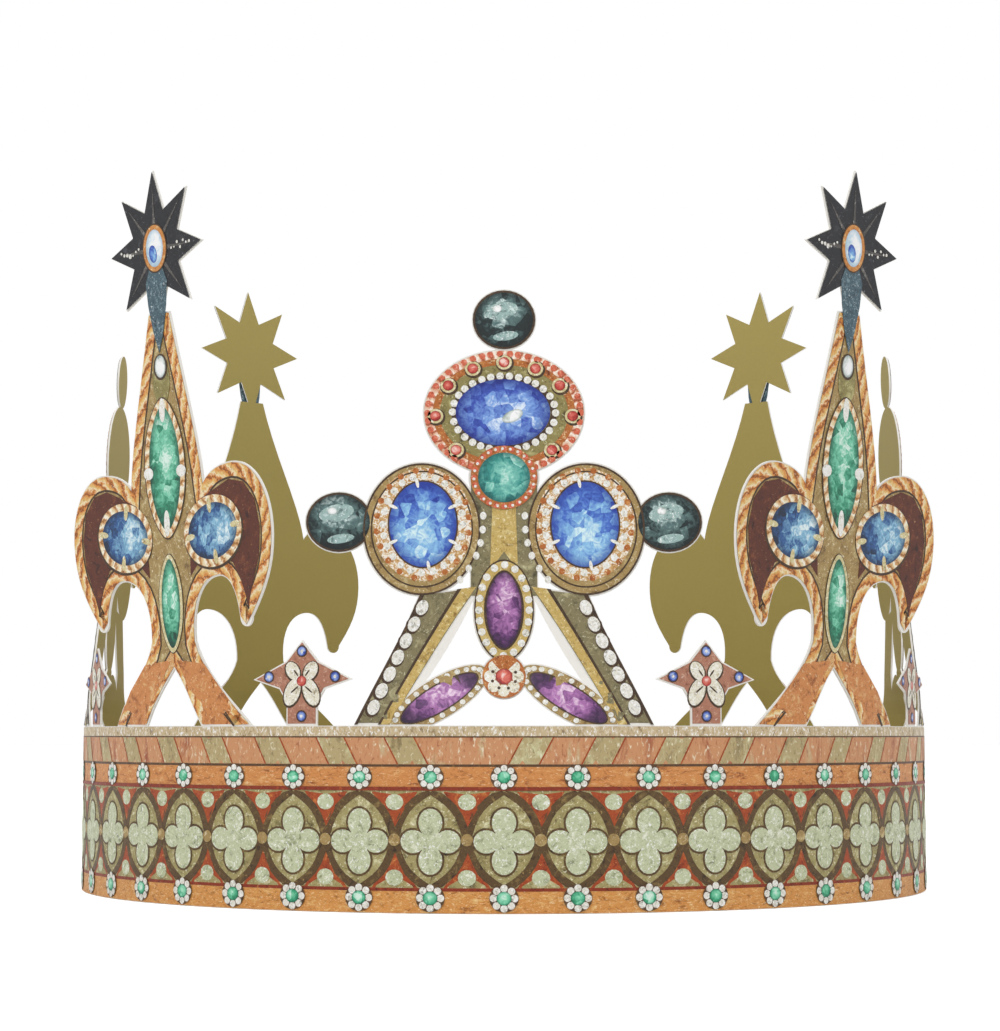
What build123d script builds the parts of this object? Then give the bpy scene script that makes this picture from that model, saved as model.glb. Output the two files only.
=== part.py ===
from build123d import *
from math import asin, cos, pi, radians, sin, sqrt, tan
import os

# Paper crown: one die-cut strip of printed card, curled into a ring and closed behind by a glued lap.
# The front of the crown faces -Y and Z is up. The origin is the centre of the ring, on its bottom edge.

# Sheet and ring
CARD = 0.4                  # card thickness
HEAD_CIRCUMFERENCE = 570.0  # inside of the ring
BAND_HEIGHT = 34.6
LAP_LENGTH = 18.0           # glued overlap at the back
LAP_RAMP = 6.0              # length over which the outer end climbs onto the inner one

# Prongs: the card is curved with the ring at its foot and springs flat above it
FLATTEN_HEIGHT = 12.0
PLATE_MARGIN = 1.5          # spare card round an outline before it is cut

# Trefoil prong: discs and petals on two legs
TREFOIL_SIDE_AZIMUTH = 90.0
TREFOIL_SIDE_LEAN = -2.0
TREFOIL_TOP_BALL = (0.0, 76.3, 6.1, 5.8)        # centre across, centre up, half-width, half-height
TREFOIL_TOP_DISC = (0.0, 58.6, 15.3, 12.1)
TREFOIL_HUB = (0.0, 46.4, 6.7, 6.2)
TREFOIL_SIDE_DISC = (15.4, 36.7, 11.3, 12.7)
TREFOIL_SIDE_BALL = (30.9, 38.0, 6.4, 5.8)
TREFOIL_PETAL = (0.0, 21.5, 5.9, 9.8)
TREFOIL_FLOWER = (0.0, 9.1, 4.3, 4.3)
TREFOIL_LOW_PETAL = (12.0, 5.1, 10.6, 4.0)
TREFOIL_LOW_PETAL_TILT = 31.0
TREFOIL_FOOT = (20.8, 28.1)                     # inner and outer edge of a foot, from the prong's axis
TREFOIL_LEG_TOP = ((4.5, 26.0), (15.9, 24.5))   # inner and outer edge where the leg leaves the disc
TREFOIL_YOKE = (6.4, 24.0)                      # half-width and foot of the web between hub and petal

# Fleur prong: a stem on two feet, two drooping wings and a tapered body under a star
FLEUR_FRONT_AZIMUTH = 45.3
FLEUR_BACK_AZIMUTH = 138.5
FLEUR_LEAN = 4.0
FLEUR_FOOT = (8.6, 21.4)
FLEUR_CROTCH = 11.2                             # height at which the two feet meet
FLEUR_STEM = (7.0, 16.5)                        # half-width and height of the narrowest place
FLEUR_ARCH = (15.2, 28.7)                       # top of the hollow between stem and wing
FLEUR_WING_TIP = (22.8, 18.8)
FLEUR_WING_TIP_WIDTH = 3.6
FLEUR_WING_OUT = (31.7, 37.0)
FLEUR_WING_TOP = (20.6, 50.4)
FLEUR_NOTCH_HEIGHT = 47.2                       # where the wing leaves the body
FLEUR_FRONT_BODY = 11.6                         # half-width of the body at the notch
FLEUR_BACK_BODY = 14.6
FLEUR_NECK = (3.4, 81.0)

STAR_HEIGHT = 93.5
STAR_REACH = 15.6                               # centre to each point
STAR_SQUEEZE = 0.94                             # width over height
STAR_INNER = 8.2
STAR_POINTS = 8

# Stud: a small four-pointed star on a short stem
STUD_AZIMUTHS = (24.7, 67.6)
STUD_TIP = 16.1
STUD_SIDE_TIP = (10.6, 8.7)
STUD_UPPER_CORNER = (3.5, 12.1)
STUD_LOWER_CORNER = (4.9, 6.9)
STUD_STEM = 3.3

INNER_RADIUS = HEAD_CIRCUMFERENCE / (2 * pi)
OUTER_RADIUS = INNER_RADIUS + CARD


def mirrored(points):
    """The points of a right-hand half outline, carried on down the left-hand side."""
    return [(-across, up) for across, up in reversed(points)]


def disc(size, side=1, tilt=0.0):
    """An ellipse (centre across, centre up, half-width, half-height) on one side of the axis."""
    across, up, half_width, half_height = size
    return Pos(side * across, up) * Rot(0, 0, -side * tilt) * Ellipse(half_width, half_height)


def trefoil_leg(side):
    """One leg of the trefoil, gently bowed, from its foot on the band up into the side disc."""
    foot_in, foot_out = TREFOIL_FOOT
    (top_in, top_in_up), (top_out, top_out_up) = TREFOIL_LEG_TOP
    inner_bow = ((foot_in + top_in) / 2 - 1.2, top_in_up / 2)
    outer_bow = ((foot_out + top_out) / 2 - 0.6, top_out_up / 2)
    outline = [
        ThreePointArc((side * foot_in, 0), (side * inner_bow[0], inner_bow[1]), (side * top_in, top_in_up)),
        Line((side * top_in, top_in_up), (side * top_out, top_out_up)),
        ThreePointArc((side * top_out, top_out_up), (side * outer_bow[0], outer_bow[1]), (side * foot_out, 0)),
        Line((side * foot_out, 0), (side * foot_in, 0)),
    ]
    return make_face(Wire(outline).edges())


def trefoil_outline():
    """Flat outline of the trefoil prong, standing on the line up = 0."""
    shape = disc(TREFOIL_TOP_BALL) + disc(TREFOIL_TOP_DISC) + disc(TREFOIL_HUB)
    yoke, yoke_foot = TREFOIL_YOKE
    yoke_top = TREFOIL_HUB[1]
    shape += Pos(0, (yoke_foot + yoke_top) / 2) * Rectangle(2 * yoke, yoke_top - yoke_foot)
    shape += disc(TREFOIL_PETAL) + disc(TREFOIL_FLOWER)
    for side in (-1, 1):
        shape += disc(TREFOIL_SIDE_DISC, side) + disc(TREFOIL_SIDE_BALL, side)
        shape += trefoil_leg(side) + disc(TREFOIL_LOW_PETAL, side, TREFOIL_LOW_PETAL_TILT)
    reach = 2 * TREFOIL_TOP_BALL[1]
    return shape & Pos(0, reach / 2) * Rectangle(reach, reach)


def fleur_half(body, side):
    """Edges of one half of the fleur outline, from the inner edge of its foot up to the neck."""
    foot_in, foot_out = FLEUR_FOOT
    tip, tip_up = FLEUR_WING_TIP
    half_tip = FLEUR_WING_TIP_WIDTH / 2
    out, out_up = FLEUR_WING_OUT
    top, top_up = FLEUR_WING_TOP
    arch, arch_up = FLEUR_ARCH
    stem, stem_up = FLEUR_STEM
    neck, neck_up = FLEUR_NECK
    notch_up = FLEUR_NOTCH_HEIGHT
    inner_tip = (tip - half_tip, tip_up + half_tip)
    outer_tip = (tip + half_tip, tip_up + half_tip)

    def curve(*points):
        """A Bezier curve through mirrored control points."""
        return Bezier(*[(side * across, up) for across, up in points])

    return [
        curve((0, FLEUR_CROTCH), (3.0, 8.2), (5.8, 4.4), (foot_in, 0)),
        Line((side * foot_in, 0), (side * foot_out, 0)),
        curve((foot_out, 0), (foot_out - 5.0, 6.0), (stem + 2.0, stem_up - 6.0), (stem, stem_up)),
        curve((stem, stem_up), (stem - 0.5, stem_up + 7.5), (arch - 5.2, arch_up), (arch, arch_up)),
        curve((arch, arch_up), (arch + 3.8, arch_up), (inner_tip[0] - 0.6, arch_up - 4.0), inner_tip),
        ThreePointArc((side * inner_tip[0], inner_tip[1]), (side * tip, tip_up), (side * outer_tip[0], outer_tip[1])),
        curve(outer_tip, (outer_tip[0] + 3.6, outer_tip[1] + 4.5), (out, out_up - 7.5), (out, out_up)),
        curve((out, out_up), (out, out_up + 7.5), (top + 6.5, top_up), (top, top_up)),
        curve((top, top_up), (top - 3.2, top_up), (body + 2.0, notch_up + 2.2), (body, notch_up)),
        curve((body, notch_up), (body - 1.0, notch_up + 9.0), (neck + 3.4, neck_up - 14.0), (neck, neck_up)),
    ]


def star_outline():
    """The star on top of a fleur, slightly taller than wide."""
    points = []
    for step in range(2 * STAR_POINTS):
        reach = STAR_REACH if step % 2 == 0 else STAR_INNER
        angle = pi / 2 + step * pi / STAR_POINTS
        points.append((STAR_SQUEEZE * reach * cos(angle), STAR_HEIGHT + reach * sin(angle)))
    return make_face(Polyline(points, close=True).edges())


def fleur_outline(body):
    """Flat outline of the fleur prong whose body is that half-width at the notch."""
    neck, neck_up = FLEUR_NECK
    across_neck = Line((neck, neck_up), (-neck, neck_up))
    edges = fleur_half(body, 1) + [across_neck] + fleur_half(body, -1)
    return make_face(edges) + star_outline()


def stud_outline():
    """Flat outline of the small stud."""
    half = [(STUD_STEM, 0), (STUD_STEM, STUD_LOWER_CORNER[1] - 2.6), STUD_LOWER_CORNER, STUD_SIDE_TIP]
    half += [STUD_UPPER_CORNER, (0, STUD_TIP)]
    return make_face(Polyline(half + mirrored(half[:-1]), close=True).edges())


def flatten(height):
    """How flat the card has sprung at that height above the band, from 0 to 1."""
    share = min(1.0, height / FLATTEN_HEIGHT)
    return share * share * (3 - 2 * share)


def card_section(height, reach, foot, lean):
    """Plan section of a prong's card at that height: part of a ring at the band, a straight slab when flat."""
    curvature = (1 - flatten(height)) / OUTER_RADIUS
    seat = sqrt(OUTER_RADIUS ** 2 - foot ** 2) + tan(radians(lean)) * height
    level = BAND_HEIGHT + height
    if curvature < 1e-6:
        middle = Pos(0, -(seat - CARD / 2), level)
        return middle * Rectangle(2 * reach, CARD)
    radius = 1 / curvature
    centre = seat + radius - sqrt(radius ** 2 - foot ** 2) - radius
    swing = asin(reach / radius)

    def arc(arc_radius):
        """The three points of an arc of the section, left end, middle and right end."""
        ends = [-swing, 0, swing]
        return [(arc_radius * sin(turn), -(centre + arc_radius * cos(turn)), level) for turn in ends]

    outer = arc(radius)
    inner = arc(radius - CARD)
    edges = [ThreePointArc(*outer), Line(outer[2], inner[2]), ThreePointArc(*reversed(inner)), Line(inner[0], outer[0])]
    return make_face(Wire(edges).edges())


def prong(outline, foot, lean, azimuth):
    """Cut an outline out of its card plate, standing at an azimuth measured from the front of the crown."""
    box = outline.bounding_box()
    reach = box.max.X + PLATE_MARGIN
    top = box.max.Y + PLATE_MARGIN
    steps = 4
    heights = [FLATTEN_HEIGHT * step / steps for step in range(steps + 1)] + [top]
    sections = [card_section(height, reach, foot, lean) for height in heights]
    plate = loft(Sketch() + [section.face() for section in sections], ruled=True)
    cutter = extrude(Plane.XZ * outline, amount=2 * OUTER_RADIUS)
    standing = plate & Pos(0, 0, BAND_HEIGHT) * cutter
    return Rot(0, 0, -azimuth) * standing


def glued_lap():
    """The outer end of the strip, lying over the inner one at the middle of the back."""
    outside = OUTER_RADIUS + CARD
    half = LAP_LENGTH / 2 / OUTER_RADIUS
    ramp = LAP_RAMP / OUTER_RADIUS

    def at(radius, turn):
        """A plan point at that radius, turned from the middle of the back."""
        return (radius * sin(turn), radius * cos(turn))

    buried = OUTER_RADIUS - CARD / 2
    edges = [
        ThreePointArc(at(outside, -half), at(outside, 0), at(outside, half)),
        Line(at(outside, half), at(OUTER_RADIUS, half + ramp)),
        Line(at(OUTER_RADIUS, half + ramp), at(buried, half + ramp)),
        ThreePointArc(at(buried, half + ramp), at(buried, ramp / 2), at(buried, -half)),
        Line(at(buried, -half), at(outside, -half)),
    ]
    return extrude(make_face(edges), amount=BAND_HEIGHT)


def crown_strip():
    """The whole crown as one piece of card."""
    ring = Circle(OUTER_RADIUS) - Circle(INNER_RADIUS)
    strip = extrude(ring, amount=BAND_HEIGHT) + glued_lap()
    trefoil = trefoil_outline()
    trefoil_seat = sum(TREFOIL_FOOT) / 2
    strip += prong(trefoil, trefoil_seat, 0.0, 0.0)
    fleur_seat = sum(FLEUR_FOOT) / 2
    front_fleur = fleur_outline(FLEUR_FRONT_BODY)
    back_fleur = fleur_outline(FLEUR_BACK_BODY)
    stud = stud_outline()
    for side in (-1, 1):
        strip += prong(trefoil, trefoil_seat, TREFOIL_SIDE_LEAN, side * TREFOIL_SIDE_AZIMUTH)
        strip += prong(front_fleur, fleur_seat, FLEUR_LEAN, side * FLEUR_FRONT_AZIMUTH)
        strip += prong(back_fleur, fleur_seat, FLEUR_LEAN, side * FLEUR_BACK_AZIMUTH)
        for azimuth in STUD_AZIMUTHS:
            strip += prong(stud, STUD_STEM, 0.0, side * azimuth)
    return strip


os.makedirs("parts", exist_ok=True)
crown = crown_strip()
print(f"crown_strip: {len(crown.solids())} solid, {crown.volume / 1000:.2f} cm3, box {crown.bounding_box().size}")
export_step(crown, "parts/crown_strip.step")
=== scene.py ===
"""A printed and cut card crown: the card itself, the ink that covers it, and a plain studio round it."""

import logging
import math
from dataclasses import dataclass, field
from enum import Enum
from random import Random

import bpy
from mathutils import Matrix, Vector
from mathutils.geometry import delaunay_2d_cdt


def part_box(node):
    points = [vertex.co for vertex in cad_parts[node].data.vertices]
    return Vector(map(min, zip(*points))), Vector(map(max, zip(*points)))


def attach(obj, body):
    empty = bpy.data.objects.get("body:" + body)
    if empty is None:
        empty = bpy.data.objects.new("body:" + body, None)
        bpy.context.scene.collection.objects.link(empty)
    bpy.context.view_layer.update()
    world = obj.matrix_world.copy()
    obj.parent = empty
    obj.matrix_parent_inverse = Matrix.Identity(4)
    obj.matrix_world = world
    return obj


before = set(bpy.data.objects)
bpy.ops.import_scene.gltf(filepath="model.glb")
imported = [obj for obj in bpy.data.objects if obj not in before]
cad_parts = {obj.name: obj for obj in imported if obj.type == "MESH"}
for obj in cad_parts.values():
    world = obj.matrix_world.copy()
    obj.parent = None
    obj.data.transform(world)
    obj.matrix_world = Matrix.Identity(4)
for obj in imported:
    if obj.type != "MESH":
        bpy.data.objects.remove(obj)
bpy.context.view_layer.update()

LOG = logging.getLogger("card_crown")
MM = 0.001
NODE = "crown_strip"
SLOT = "printed_card"

# The card, as it was cut, in millimetres. The ring's outside comes from the frame.
RING_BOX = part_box(NODE)
RING_RADIUS = (RING_BOX[1][0] - RING_BOX[0][0]) / 2 / MM
BAND_HEIGHT = 34.6
FLATTEN_HEIGHT = 12.0       # a prong springs flat over this height
FLATTEN_STEPS = 4
INK_BASE = 0.07             # first ink layer above the card
INK_STEP = 0.035            # each layer lies this far above the last
WHITE_KEYLINE = 0.3         # white card left showing round a cut edge

Point = tuple[float, float]
Outline = list[Point]


def linear(hex_colour: str) -> tuple[float, float, float, float]:
    """Turn an sRGB hex colour to linear.

    Args:
        hex_colour: six hex digits after a hash.

    Returns:
        Linear red, green and blue, with full alpha.
    """
    parts = [int(hex_colour[i:i + 2], 16) / 255 for i in (1, 3, 5)]
    values = [p / 12.92 if p <= 0.04045 else ((p + 0.055) / 1.055) ** 2.4 for p in parts]
    return (values[0], values[1], values[2], 1.0)


def node(tree: bpy.types.NodeTree, kind: str, settings: dict | None = None,
         **inputs: object) -> bpy.types.Node:
    """Add a shader node with its settings and links.

    Args:
        tree: the node tree that gets it.
        kind: the node's type name.
        settings: attributes set on the node.
        inputs: socket values by name or, as i0, i1, by number; an output socket is linked.

    Returns:
        The new node.
    """
    made = tree.nodes.new(kind)
    for name, value in (settings or {}).items():
        setattr(made, name, value)
    for name, value in inputs.items():
        key = int(name[1:]) if name[0] == "i" and name[1:].isdigit() else name.replace("_", " ")
        socket = made.inputs[key]
        if isinstance(value, bpy.types.NodeSocket):
            tree.links.new(value, socket)
        else:
            socket.default_value = value
    return made


def ramp(tree: bpy.types.NodeTree, factor: bpy.types.NodeSocket, stops: list[tuple[float, str]],
         sharp: bool = False) -> bpy.types.NodeSocket:
    """Colour a factor through a list of stops.

    Args:
        tree: the node tree.
        factor: a socket from 0 to 1.
        stops: place and hex colour of each stop, in order.
        sharp: whether the colours step instead of blending.

    Returns:
        The colour socket.
    """
    made = node(tree, "ShaderNodeValToRGB", Fac=factor)
    elements = made.color_ramp.elements
    made.color_ramp.interpolation = "CONSTANT" if sharp else "LINEAR"
    while len(elements) < len(stops):
        elements.new(0.5)
    for element, (place, colour) in zip(elements, stops):
        element.position = place
    for element, (place, colour) in zip(elements, stops):
        element.color = linear(colour)
    return made.outputs["Color"]


def mix(tree: bpy.types.NodeTree, factor: object, first: object, second: object,
        blend: str = "MIX") -> bpy.types.NodeSocket:
    """Mix two colours and return the result's socket.

    Args:
        tree: the node tree.
        factor: share of the second colour.
        first: colour or socket.
        second: colour or socket.
        blend: how they are mixed.

    Returns:
        The mixed colour's socket.
    """
    made = tree.nodes.new("ShaderNodeMix")
    made.data_type = "RGBA"
    made.blend_type = blend
    for index, value in ((0, factor), (6, first), (7, second)):
        if isinstance(value, bpy.types.NodeSocket):
            tree.links.new(value, made.inputs[index])
        else:
            made.inputs[index].default_value = linear(value) if isinstance(value, str) else value
    return made.outputs[2]


def maths(tree: bpy.types.NodeTree, operation: str, *values: object) -> bpy.types.NodeSocket:
    """Do one sum in the shader and return its socket.

    Args:
        tree: the node tree.
        operation: the Math node's operation.
        values: numbers or sockets.

    Returns:
        The result's socket.
    """
    inputs = {f"i{index}": value for index, value in enumerate(values)}
    return node(tree, "ShaderNodeMath", {"operation": operation}, **inputs).outputs[0]


def new_material(name: str) -> tuple[bpy.types.Material, bpy.types.NodeTree, bpy.types.Node]:
    """Make an empty Principled material.

    Args:
        name: the material's name.

    Returns:
        The material, its tree and its Principled node.
    """
    material = bpy.data.materials.new(name)
    material.use_nodes = True
    tree = material.node_tree
    return material, tree, tree.nodes["Principled BSDF"]


def in_mm(tree: bpy.types.NodeTree) -> bpy.types.NodeSocket:
    """Give the object position in millimetres, so that a pattern's scale is in repeats per millimetre."""
    place = node(tree, "ShaderNodeTexCoord").outputs["Object"]
    scaled = node(tree, "ShaderNodeVectorMath", {"operation": "SCALE"}, i0=place, Scale=1 / MM)
    return scaled.outputs["Vector"]


@dataclass(frozen=True)
class CardStock:
    """Coated board, printed inside with one flat olive-gold ink; its cut edges show the white core."""

    name: str = "coated_board_printed_inside"
    core: str = "#F4F1EA"
    # The inside ink's two colours: the darker is painted shade low down inside the ring, the lighter is
    # painted light near its top.
    ink_low_in_painted_shade: str = "#988643"
    ink_high_in_painted_light: str = "#B5A45F"
    grain_mm: float = 0.6   # paper fibre is finer, and is drawn this coarse so that it shows

    def build(self) -> bpy.types.Material:
        """Make the material: matt gold ink on the side that faces the ring's axis, with painted shade
        darkening it low down and painted light near the top, and white elsewhere.
        """
        material, tree, surface = new_material(self.name)
        geometry = node(tree, "ShaderNodeNewGeometry")
        place = in_mm(tree)
        split = node(tree, "ShaderNodeSeparateXYZ", i0=place)
        flat_place = node(tree, "ShaderNodeCombineXYZ", X=split.outputs["X"], Y=split.outputs["Y"])
        outward = node(tree, "ShaderNodeVectorMath", {"operation": "NORMALIZE"}, i0=flat_place.outputs[0])
        facing = node(tree, "ShaderNodeVectorMath", {"operation": "DOT_PRODUCT"},
                      i0=outward.outputs["Vector"], i1=geometry.outputs["True Normal"]).outputs["Value"]
        inside = maths(tree, "LESS_THAN", facing, -0.55)
        fibre = node(tree, "ShaderNodeTexNoise", Vector=place, Scale=1 / self.grain_mm, Detail=4.0)
        cloud = node(tree, "ShaderNodeTexNoise", Vector=place, Scale=0.03, Detail=2.0)
        # Painted shade and light: the inside ink goes from darker at the bottom of the ring to lighter at
        # the top.
        height = node(tree, "ShaderNodeMapRange", i0=split.outputs["Z"], i1=0.0, i2=140.0)
        ink = mix(tree, height.outputs[0], self.ink_low_in_painted_shade, self.ink_high_in_painted_light)
        ink = mix(tree, maths(tree, "MULTIPLY", fibre.outputs["Fac"], 0.16), ink, "#6E5E28")
        ink = mix(tree, maths(tree, "MULTIPLY", cloud.outputs["Fac"], 0.12), ink, "#CFC07C")
        colour = mix(tree, inside, self.core, ink)
        bump = node(tree, "ShaderNodeBump", Strength=0.12, Distance=0.00004, Height=fibre.outputs["Fac"])
        tree.links.new(colour, surface.inputs["Base Color"])
        tree.links.new(bump.outputs["Normal"], surface.inputs["Normal"])
        surface.inputs["Roughness"].default_value = 0.62
        surface.inputs["Specular IOR Level"].default_value = 0.35
        return material


@dataclass(frozen=True)
class PaintedInk:
    """Offset ink that reproduces gouache: mottled washes with dark strokes and pale touches."""

    name: str
    dark: str
    mid: str
    light: str
    blot_mm: float = 2.2     # size of a wash's blots
    touch: str = "#FFF6E0"   # colour of the pale touches
    touches: float = 0.25    # how much of the field they cover
    speck_mm: float = 0.55   # size of the dabs, drawn as coarse as they need to show
    stretch: tuple[float, float, float] = (1.0, 1.0, 1.0)

    def build(self) -> bpy.types.Material:
        """Make the material from washes at two scales, strokes and touches."""
        material, tree, surface = new_material(self.name)
        place = node(tree, "ShaderNodeVectorMath", {"operation": "MULTIPLY"},
                     i0=in_mm(tree), i1=self.stretch)
        vector = place.outputs["Vector"]
        wash = node(tree, "ShaderNodeTexNoise", Vector=vector, Scale=1 / self.blot_mm, Detail=5.0,
                    Roughness=0.62, Distortion=0.6)
        colour = ramp(tree, wash.outputs["Fac"],
                      [(0.30, self.dark), (0.44, self.mid), (0.56, self.mid), (0.70, self.light)])
        dabs = node(tree, "ShaderNodeTexNoise", Vector=vector, Scale=1 / self.speck_mm,
                    Detail=3.0, Distortion=1.2)
        low = 0.68 - 0.3 * self.touches
        pale = node(tree, "ShaderNodeMapRange", i0=dabs.outputs["Fac"], i1=low, i2=low + 0.08).outputs[0]
        deep = node(tree, "ShaderNodeMapRange", i0=dabs.outputs["Fac"], i1=0.40, i2=0.32).outputs[0]
        colour = mix(tree, maths(tree, "MULTIPLY", pale, 0.8), colour, self.touch)
        colour = mix(tree, maths(tree, "MULTIPLY", deep, 0.65), colour, self.dark)
        bump = node(tree, "ShaderNodeBump", Strength=0.15, Distance=0.00003, Height=dabs.outputs["Fac"])
        tree.links.new(colour, surface.inputs["Base Color"])
        tree.links.new(bump.outputs["Normal"], surface.inputs["Normal"])
        surface.inputs["Roughness"].default_value = 0.46
        surface.inputs["Specular IOR Level"].default_value = 0.4
        return material


@dataclass(frozen=True)
class PaintedStone:
    """A cut stone as a painter shows it: dark rim, facets, a lit side and a glint, in flat ink."""

    name: str
    deep: str
    mid: str
    pale: str
    glint: str = "#F4FBFF"
    facets: float = 3.2      # shards across the stone
    lit: Point = (0.15, 0.1)

    def build(self) -> bpy.types.Material:
        """Make the material in the stone's own plane, where the UV map runs from rim to rim."""
        material, tree, surface = new_material(self.name)
        uv = node(tree, "ShaderNodeUVMap", {"uv_map": "stone"}).outputs["UV"]
        centred = node(tree, "ShaderNodeVectorMath", {"operation": "SUBTRACT"}, i0=uv, i1=(0.5, 0.5, 0.0))
        doubled = node(tree, "ShaderNodeVectorMath", {"operation": "SCALE"},
                       i0=centred.outputs[0], Scale=2.0)
        plane = doubled.outputs[0]
        rim = node(tree, "ShaderNodeVectorMath", {"operation": "LENGTH"}, i0=plane).outputs["Value"]
        place = in_mm(tree)
        shards = node(tree, "ShaderNodeTexVoronoi", Vector=place, Scale=0.55, Randomness=1.0)
        strokes = node(tree, "ShaderNodeTexNoise", Vector=place, Scale=0.75, Detail=5.0, Distortion=1.6)
        aside = node(tree, "ShaderNodeVectorMath", {"operation": "SUBTRACT"}, i0=plane,
                     i1=(self.lit[0], self.lit[1], 0.0))
        glow = node(tree, "ShaderNodeVectorMath", {"operation": "LENGTH"},
                    i0=aside.outputs[0]).outputs["Value"]
        glow = maths(tree, "MULTIPLY", maths(tree, "SUBTRACT", 1.0, glow), 0.34)
        grey = node(tree, "ShaderNodeRGBToBW", Color=shards.outputs["Color"]).outputs[0]
        tone = maths(tree, "ADD", maths(tree, "MULTIPLY", grey, 0.42), glow)
        tone = maths(tree, "ADD", tone, maths(tree, "MULTIPLY", strokes.outputs["Fac"], 0.62))
        colour = ramp(tree, maths(tree, "SUBTRACT", tone, 0.14),
                      [(0.16, self.deep), (0.38, self.mid), (0.62, self.pale), (0.80, self.glint)])
        shade = node(tree, "ShaderNodeMapRange", i0=rim, i1=0.72, i2=1.0).outputs[0]
        colour = mix(tree, maths(tree, "MULTIPLY", shade, 0.75), colour, self.deep)
        tree.links.new(colour, surface.inputs["Base Color"])
        surface.inputs["Roughness"].default_value = 0.38
        surface.inputs["Specular IOR Level"].default_value = 0.45
        return material


@dataclass(frozen=True)
class RopeInk:
    """A painted rope moulding: slanted strands in gold, orange and cream, along the UV map's length."""

    name: str
    strands: tuple[str, str, str, str] = ("#8A4A1E", "#DB8A3C", "#E9C277", "#F6E6BE")
    pitch_mm: float = 4.6
    slant: float = 0.9

    def build(self) -> bpy.types.Material:
        """Make the material: strands by length along the edge, blurred by brush marks."""
        material, tree, surface = new_material(self.name)
        uv = node(tree, "ShaderNodeUVMap", {"uv_map": "stone"}).outputs["UV"]
        split = node(tree, "ShaderNodeSeparateXYZ", i0=uv)
        place = in_mm(tree)
        brush = node(tree, "ShaderNodeTexNoise", Vector=place, Scale=0.8, Detail=4.0, Distortion=0.8)
        along = maths(tree, "MULTIPLY", split.outputs["X"], 100.0 / self.pitch_mm)
        along = maths(tree, "ADD", along, maths(tree, "MULTIPLY", split.outputs["Y"], self.slant))
        along = maths(tree, "ADD", along, maths(tree, "MULTIPLY", brush.outputs["Fac"], 1.1))
        turn = maths(tree, "FRACT", along)
        stops = [(0.0, self.strands[0]), (0.10, self.strands[1]), (0.45, self.strands[2]),
                 (0.62, self.strands[3]), (0.80, self.strands[1]), (0.97, self.strands[0])]
        colour = ramp(tree, turn, stops)
        dabs = node(tree, "ShaderNodeTexNoise", Vector=place, Scale=1.9, Detail=3.0, Distortion=1.0)
        pale = node(tree, "ShaderNodeMapRange", i0=dabs.outputs["Fac"], i1=0.60, i2=0.68).outputs[0]
        deep = node(tree, "ShaderNodeMapRange", i0=dabs.outputs["Fac"], i1=0.40, i2=0.33).outputs[0]
        colour = mix(tree, maths(tree, "MULTIPLY", pale, 0.55), colour, "#FFF3D2")
        colour = mix(tree, maths(tree, "MULTIPLY", deep, 0.5), colour, self.strands[0])
        tree.links.new(colour, surface.inputs["Base Color"])
        surface.inputs["Roughness"].default_value = 0.46
        surface.inputs["Specular IOR Level"].default_value = 0.4
        return material


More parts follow.
